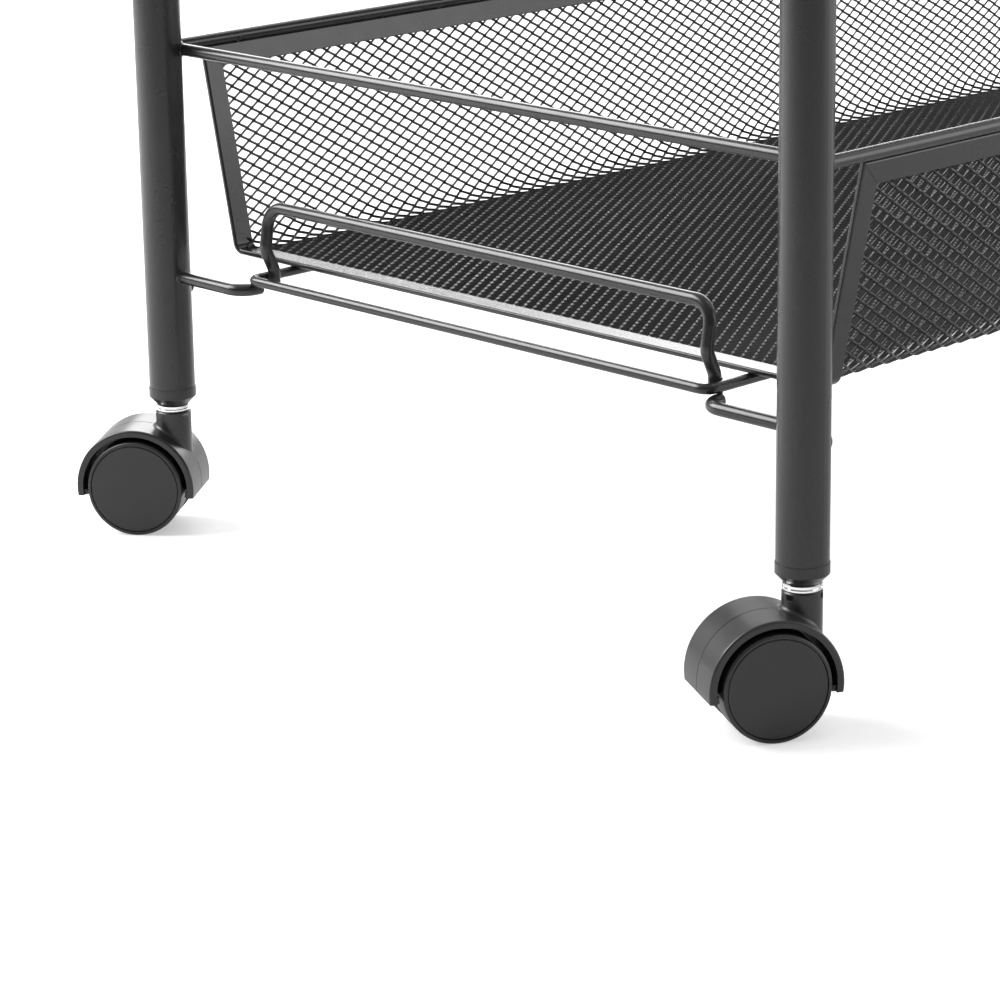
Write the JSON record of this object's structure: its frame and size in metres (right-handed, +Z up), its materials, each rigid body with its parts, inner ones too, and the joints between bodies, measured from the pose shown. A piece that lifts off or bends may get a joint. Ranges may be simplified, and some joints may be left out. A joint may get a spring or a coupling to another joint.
{
  "type": "rolling pantry cart",
  "caption": "Rolling wire-and-tube pantry cart with open-fronted mesh trays, low wire fences and hooded twin-wheel swivel casters.",
  "frame": {"origin": "on the floor, midway between the four posts", "axes": "+Z up, +X to the right along the open front, +Y towards the back"},
  "size_m": [0.4264, 0.6618, 0.7384],
  "materials": {
    "powder_coat": "satin black powder coat",
    "coated_mesh": "satin black coated expanded steel mesh",
    "moulded_plastic": "satin black moulding",
    "wheel_plastic": "satin black wheel plastic",
    "chrome_plate": "bright plated",
    "bright_steel": "turned",
    "black_screw": "black zinc"
  },
  "bodies": {
    "frame": {"post_front_left": "powder_coat", "post_front_right": "powder_coat", "post_rear_left": "powder_coat", "post_rear_right": "powder_coat", "post_plugs": "moulded_plastic", "post_caps": "moulded_plastic", "frame_bolts": "black_screw", "lower_rim_ring": "powder_coat", "lower_base_ring": "powder_coat", "lower_fence": "powder_coat", "lower_brackets": "powder_coat", "lower_mesh_tray": "coated_mesh", "lower_tray_edging": "powder_coat", "middle_rim_ring": "powder_coat", "middle_base_ring": "powder_coat", "middle_fence": "powder_coat", "middle_brackets": "powder_coat", "middle_mesh_tray": "coated_mesh", "middle_tray_edging": "powder_coat", "upper_rim_ring": "powder_coat", "upper_base_ring": "powder_coat", "upper_fence": "powder_coat", "upper_brackets": "powder_coat", "upper_mesh_tray": "coated_mesh", "upper_tray_edging": "powder_coat", "caster_front_left_stem": "chrome_plate", "caster_front_right_stem": "chrome_plate", "caster_rear_left_stem": "chrome_plate", "caster_rear_right_stem": "chrome_plate"},
    "caster_front_left": {"caster_front_left_hood": "moulded_plastic", "caster_front_left_axle": "bright_steel"},
    "wheel_front_left_a": {"caster_front_left_wheel_a": "wheel_plastic", "caster_front_left_cap_a": "wheel_plastic"},
    "wheel_front_left_b": {"caster_front_left_wheel_b": "wheel_plastic", "caster_front_left_cap_b": "wheel_plastic"},
    "caster_front_right": {"caster_front_right_hood": "moulded_plastic", "caster_front_right_axle": "bright_steel"},
    "wheel_front_right_a": {"caster_front_right_wheel_a": "wheel_plastic", "caster_front_right_cap_a": "wheel_plastic"},
    "wheel_front_right_b": {"caster_front_right_wheel_b": "wheel_plastic", "caster_front_right_cap_b": "wheel_plastic"},
    "caster_rear_left": {"caster_rear_left_hood": "moulded_plastic", "caster_rear_left_axle": "bright_steel"},
    "wheel_rear_left_a": {"caster_rear_left_wheel_a": "wheel_plastic", "caster_rear_left_cap_a": "wheel_plastic"},
    "wheel_rear_left_b": {"caster_rear_left_wheel_b": "wheel_plastic", "caster_rear_left_cap_b": "wheel_plastic"},
    "caster_rear_right": {"caster_rear_right_hood": "moulded_plastic", "caster_rear_right_axle": "bright_steel"},
    "wheel_rear_right_a": {"caster_rear_right_wheel_a": "wheel_plastic", "caster_rear_right_cap_a": "wheel_plastic"},
    "wheel_rear_right_b": {"caster_rear_right_wheel_b": "wheel_plastic", "caster_rear_right_cap_b": "wheel_plastic"}
  },
  "joints": [
    {"name": "front_left_swivel", "type": "hinge", "parent": "frame", "child": "caster_front_left", "pos_m": [-0.1735, -0.29, 0.045], "axis": [0, 0, 1], "continuous": true},
    {"name": "front_left_wheel_a_spin", "type": "hinge", "parent": "caster_front_left", "child": "wheel_front_left_a", "pos_m": [-0.18468, -0.29843, 0.02], "axis": [-0.6018, 0.7986, 0], "continuous": true},
    {"name": "front_left_wheel_b_spin", "type": "hinge", "parent": "caster_front_left", "child": "wheel_front_left_b", "pos_m": [-0.18468, -0.29843, 0.02], "axis": [-0.6018, 0.7986, 0], "continuous": true},
    {"name": "front_right_swivel", "type": "hinge", "parent": "frame", "child": "caster_front_right", "pos_m": [0.1735, -0.29, 0.045], "axis": [0, 0, 1], "continuous": true},
    {"name": "front_right_wheel_a_spin", "type": "hinge", "parent": "caster_front_right", "child": "wheel_front_right_a", "pos_m": [0.16671, -0.30224, 0.02], "axis": [-0.8746, 0.4848, 0], "continuous": true},
    {"name": "front_right_wheel_b_spin", "type": "hinge", "parent": "caster_front_right", "child": "wheel_front_right_b", "pos_m": [0.16671, -0.30224, 0.02], "axis": [-0.8746, 0.4848, 0], "continuous": true},
    {"name": "rear_left_swivel", "type": "hinge", "parent": "frame", "child": "caster_rear_left", "pos_m": [-0.1735, 0.29, 0.045], "axis": [0, 0, 1], "continuous": true},
    {"name": "rear_left_wheel_a_spin", "type": "hinge", "parent": "caster_rear_left", "child": "wheel_rear_left_a", "pos_m": [-0.16671, 0.30224, 0.02], "axis": [0.8746, -0.4848, 0], "continuous": true},
    {"name": "rear_left_wheel_b_spin", "type": "hinge", "parent": "caster_rear_left", "child": "wheel_rear_left_b", "pos_m": [-0.16671, 0.30224, 0.02], "axis": [0.8746, -0.4848, 0], "continuous": true},
    {"name": "rear_right_swivel", "type": "hinge", "parent": "frame", "child": "caster_rear_right", "pos_m": [0.1735, 0.29, 0.045], "axis": [0, 0, 1], "continuous": true},
    {"name": "rear_right_wheel_a_spin", "type": "hinge", "parent": "caster_rear_right", "child": "wheel_rear_right_a", "pos_m": [0.18468, 0.29843, 0.02], "axis": [0.6018, -0.7986, 0], "continuous": true},
    {"name": "rear_right_wheel_b_spin", "type": "hinge", "parent": "caster_rear_right", "child": "wheel_rear_right_b", "pos_m": [0.18468, 0.29843, 0.02], "axis": [0.6018, -0.7986, 0], "continuous": true}
  ]
}
